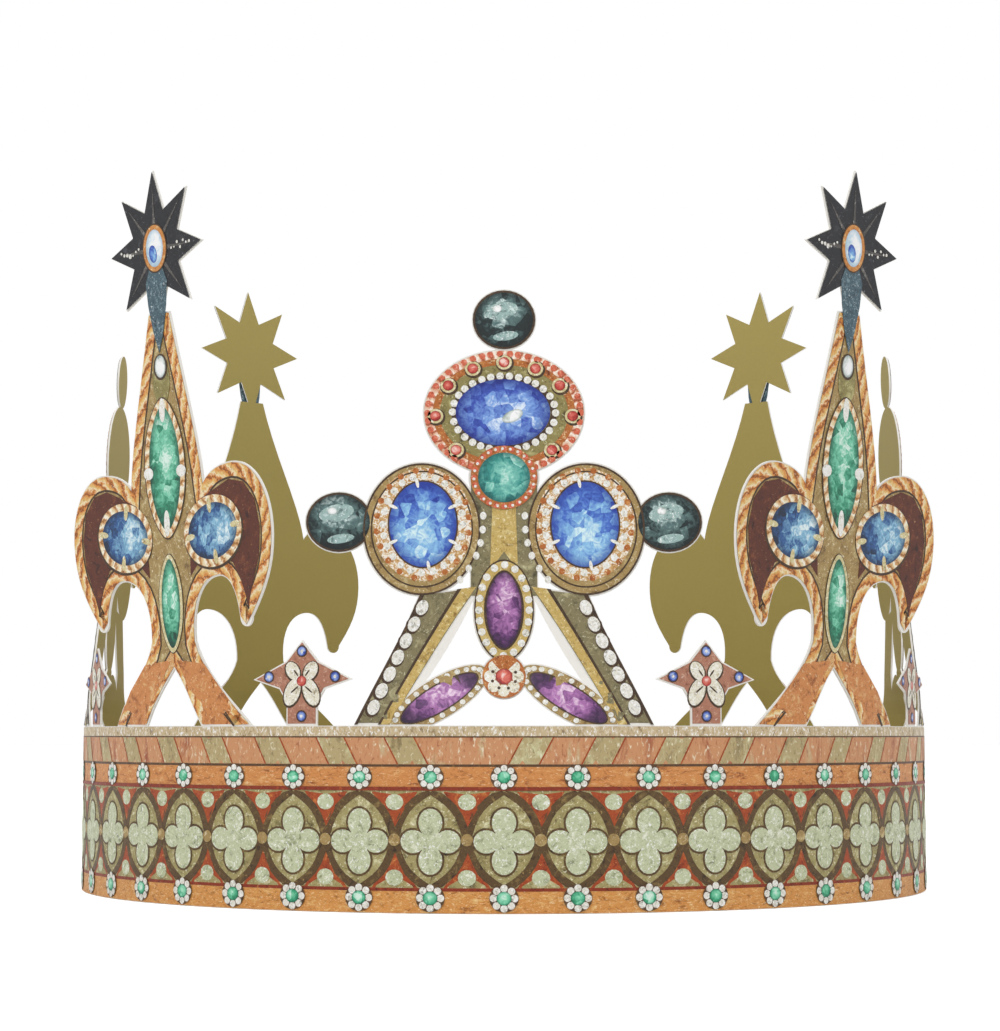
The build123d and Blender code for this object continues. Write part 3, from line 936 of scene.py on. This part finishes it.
    def build(self, name: str, shop: InkShop) -> bpy.types.Object:
        """Print the whole prong."""
        surface = ProngSurface(self.azimuth, sum(self.foot) / 2, self.lean)
        sheet = Print(name, surface, shop)
        self.legs(sheet)
        self.yoke(sheet)
        self.top(sheet)
        self.dark_pearl(sheet, 0, self.top_ball[0], self.top_ball[1], self.top_ball[2])
        self.sides(sheet)
        self.petals(sheet)
        return sheet.build(SLOT)


def outline_in(outline: Outline) -> Outline:
    """Give an outline, whichever way it runs, moved in from a cut edge by the white keyline."""
    area = sum(a[0] * b[1] - b[0] * a[1] for a, b in zip(outline, outline[1:] + outline[:1]))
    ordered = outline if area > 0 else outline[::-1]
    return inset(ordered, WHITE_KEYLINE)


def open_strip(sheet: Print, ink: Ink, layer: float, first: Outline, second: Outline, side: int) -> None:
    """Print an open strip between two lines, on either side of the axis, face outwards."""
    if side > 0:
        sheet.strip(ink, layer, second, first, closed=False)
    else:
        sheet.strip(ink, layer, first, second, closed=False)


@dataclass
class Fleur:
    """The tall prong: a jewelled stem and drooping wings, with a tapered body that carries a star."""

    azimuth: float
    body: float = 11.6
    lean: float = 4.0
    foot: Point = (8.6, 21.4)
    crotch: float = 11.2
    stem: Point = (7.0, 16.5)
    arch: Point = (15.2, 28.7)
    wing_tip: Point = (22.8, 18.8)
    tip_width: float = 3.6
    wing_out: Point = (31.7, 37.0)
    wing_top: Point = (20.6, 50.4)
    notch: float = 47.2
    neck: Point = (3.4, 81.0)
    star_up: float = 93.5
    star_reach: float = 15.6
    star_inner: float = 8.2
    star_squeeze: float = 0.94
    star_points: int = 8

    def half(self) -> Outline:
        """Give the right-hand half of the outline, from the crotch round to the neck."""
        foot_in, foot_out = self.foot
        stem, stem_up = self.stem
        arch, arch_up = self.arch
        tip, tip_up = self.wing_tip
        half_tip = self.tip_width / 2
        out, out_up = self.wing_out
        top, top_up = self.wing_top
        neck, neck_up = self.neck
        inner_tip, outer_tip = (tip - half_tip, tip_up + half_tip), (tip + half_tip, tip_up + half_tip)
        line = [(0.0, self.crotch)]
        line += bezier((0, self.crotch), (3.0, 8.2), (5.8, 4.4), (foot_in, 0.1))
        line += [(foot_out, 0.1)]
        line += bezier((foot_out, 0), (foot_out - 5, 6), (stem + 2, stem_up - 6), (stem, stem_up))
        line += bezier((stem, stem_up), (stem - 0.5, stem_up + 7.5), (arch - 5.2, arch_up), (arch, arch_up))
        line += bezier((arch, arch_up), (arch + 3.8, arch_up), (inner_tip[0] - 0.6, arch_up - 4), inner_tip)
        line += [(tip, tip_up), outer_tip]
        line += bezier(outer_tip, (outer_tip[0] + 3.6, outer_tip[1] + 4.5),
                       (out, out_up - 7.5), (out, out_up))
        line += bezier((out, out_up), (out, out_up + 7.5), (top + 6.5, top_up), (top, top_up))
        line += bezier((top, top_up), (top - 3.2, top_up), (self.body + 2, self.notch + 2.2),
                       (self.body, self.notch))
        line += bezier((self.body, self.notch), (self.body - 1, self.notch + 9), (neck + 3.4, neck_up - 14),
                       (neck, neck_up))
        return line

    def outline(self) -> Outline:
        """Give the whole outline below the star, anticlockwise."""
        half = self.half()
        return half + mirror(half[1:])

    def ground(self, sheet: Print) -> None:
        """Print the ground and the rope that follows the cut edge."""
        edge = inset(self.outline(), WHITE_KEYLINE)
        inner = inset(self.outline(), 2.9)
        line = inset(self.outline(), 3.3)
        sheet.shape(Ink.TAN_GROUND, 1, edge)
        sheet.strip(Ink.ROPE, 2, edge, inner)
        sheet.strip(Ink.SHADOW, 2.4, inner, line)
        for side in (-1, 1):
            foot = [(self.foot[0] + 0.6, 0.3), (self.foot[1] - 0.8, 0.3), (14.6, 6.8), (9.4, 12.0),
                    (3.6, 12.6),
                    (1.0, 12.8), (4.6, 7.6)]
            foot = [(side * x, y) for x, y in foot]
            sheet.shape(Ink.STEM, 3, foot if side > 0 else foot[::-1])

    def wings(self, sheet: Print) -> None:
        """Print the dark hollow of each wing and the blue stone set in it."""
        for side in (-1, 1):
            hollow = [(6.5, 29.0), (10.5, 32.6), (15.5, 33.0), (19.8, 31.0), (22.8, 26.0), (23.8, 22.6),
                      (25.4, 27.0),
                      (27.6, 32.0), (28.2, 37.5), (27.0, 42.8), (23.8, 46.2), (19.5, 47.0), (14.5, 45.2),
                      (10.0, 43.5), (7.2, 40.5)]
            hollow = [(side * x, y) for x, y in hollow]
            sheet.shape(Ink.MAROON, 3, hollow if side > 0 else hollow[::-1])
            across, up, tilt = side * 14.0, 37.4, side * 8
            sheet.oval(Ink.SHADOW, 4, across + side * 0.2, up - 0.3, 9.2, 7.1, tilt, count=40)
            sheet.ring(Ink.COLLET_ROPE, 5, across, up, (8.9, 6.9), (7.3, 5.3), tilt, count=44)
            sheet.ring(Ink.COLLET, 4.6, across, up, (8.4, 6.4), (7.0, 5.0), tilt, count=44)
            sheet.oval(Ink.BLUE_STONE, 5.4, across, up, 7.5, 5.4, tilt, count=40)
            for turn in (90, 180, 270, 0):
                spot = moved([(7.0 * math.cos(math.radians(turn)), 5.0 * math.sin(math.radians(turn)))],
                             across, up, tilt)[0]
                sheet.oval(Ink.COLLET, 6.4, *spot, 1.5, 0.62, turn + tilt, count=12)

    def stones(self, sheet: Print) -> None:
        """Print the long green stones of the body and the stem, with collets and claws."""
        sheet.oval(Ink.SHADOW, 5.6, 0, 50.4, 6.6, 14.0, point=0.45, count=44)
        sheet.ring(Ink.COLLET_ROPE, 6.4, 0, 50.4, (6.3, 13.7), (4.9, 12.2), point=0.45, count=56)
        sheet.oval(Ink.EMERALD, 7, 0, 50.4, 4.9, 12.2, point=0.4, count=44)
        for across, up, width, height in ((-5.2, 49.6, 1.5, 1.2), (5.2, 49.6, 1.5, 1.2), (0, 39.6, 0.9, 2.6),
                                          (0, 61.8, 0.9, 2.4)):
            sheet.oval(Ink.WHITE_CLAW, 8, across, up, width, height, count=16)
        sheet.oval(Ink.SHADOW, 4.6, 0, 23.9, 3.9, 9.8, point=0.4, count=36)
        sheet.ring(Ink.COLLET, 5.4, 0, 23.9, (3.7, 9.6), (2.8, 8.5), point=0.4, count=44)
        sheet.oval(Ink.EMERALD, 6, 0, 23.9, 2.9, 8.7, point=0.4, count=36)
        sheet.oval(Ink.OLIVE_GROUND, 4, 0, 67.6, 2.7, 5.2, point=0.3, count=24)
        sheet.oval(Ink.SHADOW, 5, 0, 70.3, 2.2, 2.6, count=18)
        sheet.oval(Ink.CLEAR, 6, 0, 70.4, 1.7, 2.2, count=16)

    def star(self, sheet: Print) -> None:
        """Print the dark star with its ridges, its opal and the drop that hangs from it."""
        points = []
        for step in range(2 * self.star_points):
            reach = self.star_reach if step % 2 == 0 else self.star_inner
            angle = math.pi / 2 + step * math.pi / self.star_points
            points.append((self.star_squeeze * reach * math.cos(angle),
                           self.star_up + reach * math.sin(angle)))
        sheet.shape(Ink.STAR, 5, inset(points, 0.12))
        for step in range(self.star_points):
            angle = math.pi / 2 + step * 2 * math.pi / self.star_points
            across, rise = self.star_squeeze * math.cos(angle), math.sin(angle)
            length = 0.80 * self.star_reach
            tip = (across * length, self.star_up + rise * length)
            root = (across * 4.2, self.star_up + rise * 4.2)
            side = (-rise * 0.42, across * 0.42)
            sheet.shape(Ink.STAR_RIDGE, 6, [(root[0] - side[0], root[1] - side[1]), tip,
                                            (root[0] + side[0], root[1] + side[1])][::-1])
        fleck = Random(self.star_points)
        for side in (-1, 1):
            for step in range(7):
                across = side * (5.2 + step * 0.95)
                size = fleck.uniform(0.22, 0.5)
                sheet.oval(Ink.WHITE_PEARL, 7, across, self.star_up + fleck.uniform(-0.7, 0.7),
                           size, size, count=8)
        drop = [(0, 73.0), (1.7, 77.5), (2.9, 82.5), (3.4, 87.0), (2.2, 89.6), (-2.2, 89.6), (-3.4, 87.0),
                (-2.9, 82.5), (-1.7, 77.5)]
        sheet.shape(Ink.DROP, 7, drop)
        sheet.oval(Ink.SHADOW, 7.6, 0, self.star_up + 0.2, 3.9, 4.9, count=28)
        sheet.oval(Ink.GOLD_COLLET, 8.4, 0, self.star_up + 0.2, 3.6, 4.6, count=28)
        sheet.oval(Ink.OPAL, 9.2, 0, self.star_up + 0.2, 2.7, 3.7, count=24)
        sheet.oval(Ink.PALE_SAPPHIRE, 10, -0.5, self.star_up - 0.9, 1.2, 1.8, 14, count=14)

    def build(self, name: str, shop: InkShop) -> bpy.types.Object:
        """Print the whole prong."""
        surface = ProngSurface(self.azimuth, sum(self.foot) / 2, self.lean)
        sheet = Print(name, surface, shop)
        self.ground(sheet)
        self.wings(sheet)
        self.stones(sheet)
        self.star(sheet)
        return sheet.build(SLOT)


@dataclass
class Stud:
    """The small stud: a four-pointed star with a white quatrefoil, on a short stem."""

    azimuth: float
    tip: float = 16.1
    side_tip: Point = (10.6, 8.7)
    upper: Point = (3.5, 12.1)
    lower: Point = (4.9, 6.9)
    stem: float = 3.3

    def build(self, name: str, shop: InkShop) -> bpy.types.Object:
        """Print the whole stud."""
        sheet = Print(name, ProngSurface(self.azimuth, self.stem), shop)
        half = [(self.stem, 0.1), (self.stem, self.lower[1] - 2.6), self.lower, self.side_tip, self.upper,
                (0, self.tip)]
        sheet.shape(Ink.TERRACOTTA, 1, inset(half + mirror(half[:-1]), WHITE_KEYLINE))
        for across, up, width, height, tilt in ((1.9, 10.3, 1.35, 1.9, -35), (2.0, 6.3, 1.6, 2.7, 24)):
            for side in (-1, 1):
                sheet.oval(Ink.SHADOW, 2, side * across, up - 0.15, width + 0.3, height + 0.3,
                           side * tilt, count=16)
                sheet.oval(Ink.CREAM_PETAL, 3, side * across, up, width, height, side * tilt, count=16)
        for side in (-1, 1):
            sheet.oval(Ink.SHADOW, 3.6, side * 1.5, 6.8, 1.1, 0.17, side * -38, count=8)
            sheet.oval(Ink.SHADOW, 3.6, side * 1.2, 9.9, 0.17, 0.8, side * -38, count=8)
        sheet.oval(Ink.RUBY, 4, 0, 8.4, 1.05, 1.0, count=14)
        for across, up in ((0, 14.0), (-7.1, 9.2), (7.1, 9.2), (0, 1.8)):
            sheet.oval(Ink.SHADOW, 2, across, up, 1.15, 1.15, count=12)
            sheet.oval(Ink.BLUE_BEAD, 3, across, up, 0.9, 0.9, count=12)
            sheet.oval(Ink.WHITE_PEARL, 4, across, up, 0.3, 0.3, count=8)
        return sheet.build(SLOT)


@dataclass
class Band:
    """The ring: tracery of quatrefoils between two mouldings, each with a row of rosettes."""

    repeats: int = 42
    tracery: Point = (4.4, 22.7)
    moulding: Point = (23.2, 27.1)
    panel: Point = (27.4, 32.5)
    bar: float = 1.5           # width of a tracery bar
    upper_rosette: float = 25.1
    lower_rosette: float = 2.9
    slant_start: float = 0.05  # shares of a repeat
    slant_width: float = 0.42
    slant_lean: float = 2.6    # how far a slanted field's top stands off its foot

    def field(self, sheet: Print, ink: Ink, layer: float, low: float, high: float) -> None:
        """Print one field right round the ring."""
        half = math.pi * RING_RADIUS
        steps = 4 * self.repeats
        rows = max(1, round((high - low) / 6))
        for row in range(rows):
            bottom = low + (high - low) * row / rows
            top = low + (high - low) * (row + 1) / rows
            places = [-half + 2 * half * step / steps for step in range(steps + 1)]
            sheet.strip(ink, layer, [(x, bottom) for x in places], [(x, top) for x in places], closed=False)

    def fields(self, sheet: Print) -> None:
        """Print the mouldings, the panel and the ground of the tracery."""
        low, high = self.tracery
        self.field(sheet, Ink.GOLD_STRIP, 1, 0.15, low)
        self.field(sheet, Ink.LATTICE_GROUND, 1, low, high)
        self.field(sheet, Ink.MOULDING, 1, high, self.moulding[1])
        self.field(sheet, Ink.UPPER_PANEL, 1, self.moulding[1], self.panel[1])
        self.field(sheet, Ink.TOP_BEADING, 1, self.panel[1], BAND_HEIGHT - 0.15)
        self.field(sheet, Ink.RED_LINE, 2, low - 0.25, low + 0.35)
        self.field(sheet, Ink.RED_LINE, 5, high - 0.1, high + 0.6)
        self.field(sheet, Ink.BROWN_LINE, 2, self.moulding[1] - 0.1, self.moulding[1] + 0.35)
        self.field(sheet, Ink.BROWN_LINE, 2, self.panel[1] - 0.1, self.panel[1] + 0.15)
        self.field(sheet, Ink.BROWN_LINE, 2, 13.1, 13.4)

    def bars(self, sheet: Print, centre: float, pitch: float) -> None:
        """Print the crossing bars of one repeat, with a boss where they meet the next."""
        low, high = self.tracery
        middle = (low + high) / 2
        for side in (-1, 1):
            for end in (low, high):
                start, stop = Vector((centre, end)), Vector((centre + side * pitch / 2, middle))
                bow = Vector((centre + side * pitch * 0.40, (end * 0.62 + middle * 0.38)))
                curve = bezier(tuple(start), tuple(start.lerp(bow, 0.7)), tuple(bow), tuple(stop), steps=6)
                path = [start] + [Vector(p) for p in curve]
                left, right = [], []
                for index, point in enumerate(path):
                    ahead = path[min(index + 1, len(path) - 1)] - path[max(index - 1, 0)]
                    ahead.normalize()
                    normal = Vector((-ahead.y, ahead.x)) * self.bar / 2
                    left.append(tuple(point + normal))
                    right.append(tuple(point - normal))
                right = clamped(right, low + 0.1, high - 0.1)
                left = clamped(left, low + 0.1, high - 0.1)
                sheet.strip(Ink.DARK_BAR, 2 + 0.3 * side, right, left, closed=False)

    def quatrefoil(self, sheet: Print, centre: float, up: float, size: float, layer: float) -> None:
        """Print one quatrefoil with a dark line round it."""
        lobes = ((0, 1.55, 1.0, 1.15), (0, -1.55, 1.0, 1.15), (1.45, 0, 1.05, 0.95), (-1.45, 0, 1.05, 0.95),
                 (0, 0, 1.0, 1.0))
        for index, (across, rise, width, height) in enumerate(lobes):
            place = (centre + across * size, up + rise * size)
            sheet.oval(Ink.DARK_BAR, layer + 0.05 * index, *place,
                       width * size + 0.4, height * size + 0.4, count=18)
        for index, (across, rise, width, height) in enumerate(lobes):
            place = (centre + across * size, up + rise * size)
            sheet.oval(Ink.SAGE_FOIL, layer + 0.6 + 0.05 * index, *place,
                       width * size, height * size, count=18)

    def rosettes(self, sheet: Print, centre: float) -> None:
        """Print the two rosettes of one repeat: a green stone in white pearls."""
        for up, reach, pearl in ((self.upper_rosette, 1.75, 0.62), (self.lower_rosette, 1.95, 0.70)):
            sheet.oval(Ink.BROWN_LINE, 6, centre, up, reach + 0.75, reach + 0.6, count=18)
            sheet.beads(Ink.WHITE_PEARL, 7, centre, up, (reach, reach * 0.95), 8, pearl)
            sheet.oval(Ink.SMALL_EMERALD, 8, centre, up, reach * 0.72, reach * 0.66, count=14)

    def slants(self, sheet: Print, centre: float, pitch: float) -> None:
        """Print the slanted fields of the upper panel, mirrored about the front."""
        side = 1 if centre >= 0 else -1
        low, high = self.panel
        left = centre + side * pitch * self.slant_start
        right = centre + side * pitch * (self.slant_start + self.slant_width)
        lean = side * self.slant_lean
        outline = [(left, low + 0.1), (right, low + 0.1), (right + lean, high - 0.1),
                   (left + lean, high - 0.1)]
        sheet.shape(Ink.GREEN_PANEL, 2, outline if side > 0 else outline[::-1])
        for place in (left, right):
            line = [(place, low + 0.1), (place + 0.3, low + 0.1), (place + 0.3 + lean, high - 0.1),
                    (place + lean, high - 0.1)]
            sheet.shape(Ink.RUST_WEDGE, 3, line)

    def build(self, name: str, shop: InkShop) -> bpy.types.Object:
        """Print the whole band."""
        sheet = Print(name, BandSurface(), shop)
        self.fields(sheet)
        pitch = 2 * math.pi * RING_RADIUS / self.repeats
        low, high = self.tracery
        middle = (low + high) / 2
        for index in range(self.repeats):
            centre = (index - self.repeats // 2) * pitch
            half = pitch / 2
            for end, way in ((low + 0.3, 1), (high - 0.3, -1)):
                wedge = [(centre + half - 4.4, end), (centre + half + 4.4, end),
                         (centre + half, end + way * 6.6)]
                if abs(centre + half) < math.pi * RING_RADIUS - 5:
                    sheet.shape(Ink.RUST_WEDGE, 1.8, wedge if way > 0 else wedge[::-1])
                    sheet.oval(Ink.SAGE_FOIL, 2.8, centre + half, end + way * 1.9, 1.7, 1.5, count=14)
            self.bars(sheet, centre, pitch)
            self.quatrefoil(sheet, centre, middle - 0.3, 2.25, 3.0)
            sheet.oval(Ink.TAN_GROUND, 4.5, centre + half, middle, 1.15, 1.15, count=12)
            self.rosettes(sheet, centre)
            self.slants(sheet, centre, pitch)
        return sheet.build(SLOT)


@dataclass
class Studio:
    """A pale floor, soft light from above and both sides, and the camera."""

    distance: float = 0.571        # camera from the ring's axis
    height: float = 0.0332
    pitch: float = 4.81            # degrees, looking slightly up
    focal: float = 90.3317         # millimetres, for the sensor below
    sensor: float = 36.0
    shift: float = -0.0039
    floor: float = 12.0            # side of the floor
    floor_glow: float = 0.60       # lifts the floor to white, for the camera's rays alone
    ambient: float = 0.44          # the world's light on the crown, where the white behind it is 1
    key: float = 12.0              # lamp powers, in watts
    fill: float = 5.0
    back: float = 8.0

    def camera(self) -> None:
        """Stand the camera in front of the crown, level with the band's upper edge."""
        data = bpy.data.cameras.new("camera")
        data.sensor_width = self.sensor
        data.lens = self.focal
        data.shift_x = self.shift
        data.clip_start = 0.01
        eye = bpy.data.objects.new("camera", data)
        eye.location = (0, -self.distance, self.height)
        eye.rotation_euler = (math.radians(90 + self.pitch), 0, 0)
        bpy.context.scene.collection.objects.link(eye)
        bpy.context.scene.camera = eye

    def lamp(self, name: str, place: tuple[float, float, float], size: float, power: float) -> None:
        """Add one soft square lamp that points at the crown."""
        data = bpy.data.lights.new(name, "AREA")
        data.size = size
        data.energy = power
        lamp = bpy.data.objects.new(name, data)
        lamp.location = place
        lamp.rotation_euler = (Vector((0, 0, 0.06)) - Vector(place)).to_track_quat("-Z", "Y").to_euler()
        bpy.context.scene.collection.objects.link(lamp)

    def world(self) -> None:
        """Light everything softly, with plain white behind for what the eye, gloss and glass see."""
        world = bpy.data.worlds.new("studio")
        world.use_nodes = True
        tree = world.node_tree
        background = tree.nodes["Background"]
        path = node(tree, "ShaderNodeLightPath")
        seen = maths(tree, "MAXIMUM", path.outputs["Is Camera Ray"], path.outputs["Is Transmission Ray"])
        seen = maths(tree, "MAXIMUM", seen, path.outputs["Is Glossy Ray"])
        strength = maths(tree, "ADD", maths(tree, "MULTIPLY", seen, 1 - self.ambient), self.ambient)
        tree.links.new(strength, background.inputs["Strength"])
        background.inputs["Color"].default_value = (1, 1, 1, 1)
        bpy.context.scene.world = world

    def ground(self) -> None:
        """Lay a plain white painted floor that keeps the crown's shadow."""
        half = self.floor / 2
        mesh = bpy.data.meshes.new("floor")
        corners = [(-half, -half, 0), (half, -half, 0), (half, half, 0), (-half, half, 0)]
        mesh.from_pydata(corners, [], [(0, 1, 2, 3)])
        floor = bpy.data.objects.new("floor", mesh)
        material, tree, surface = new_material("white_painted_floor")
        surface.inputs["Base Color"].default_value = (0.93, 0.93, 0.93, 1)
        surface.inputs["Roughness"].default_value = 0.9
        surface.inputs["Specular IOR Level"].default_value = 0.1
        path = node(tree, "ShaderNodeLightPath")
        surface.inputs["Emission Color"].default_value = (1, 1, 1, 1)
        glow = maths(tree, "MULTIPLY", path.outputs["Is Camera Ray"], self.floor_glow)
        tree.links.new(glow, surface.inputs["Emission Strength"])
        mesh.materials.append(material)
        bpy.context.scene.collection.objects.link(floor)

    def build(self) -> None:
        """Set the studio up."""
        self.ground()
        self.world()
        self.camera()
        self.lamp("key_light", (-0.7, -1.1, 1.3), 1.0, self.key)
        self.lamp("fill_light", (1.2, -0.9, 0.9), 1.2, self.fill)
        self.lamp("back_light", (0.2, 1.3, 1.2), 1.2, self.back)
        bpy.context.scene.view_settings.view_transform = "Standard"


def main() -> None:
    """Dress the card, print every part of it and set up the studio."""
    logging.basicConfig(level=logging.INFO, format="%(name)s %(message)s")
    shop = InkShop()
    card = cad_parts[NODE]
    card.data.materials.clear()
    card.data.materials.append(CardStock().build())
    Band().build("band_print", shop)
    Trefoil(0.0).build("trefoil_front_print", shop)
    for side, word in ((-1, "left"), (1, "right")):
        Trefoil(side * 90.0, -2.0).build(f"trefoil_{word}_print", shop)
        Fleur(side * 45.3).build(f"fleur_front_{word}_print", shop)
        Fleur(side * 138.5, body=14.6).build(f"fleur_back_{word}_print", shop)
        Stud(side * 24.7).build(f"stud_front_{word}_print", shop)
        Stud(side * 67.6).build(f"stud_side_{word}_print", shop)
    Studio().build()
    LOG.info("pieces built")


if __name__ == "__main__":
    main()
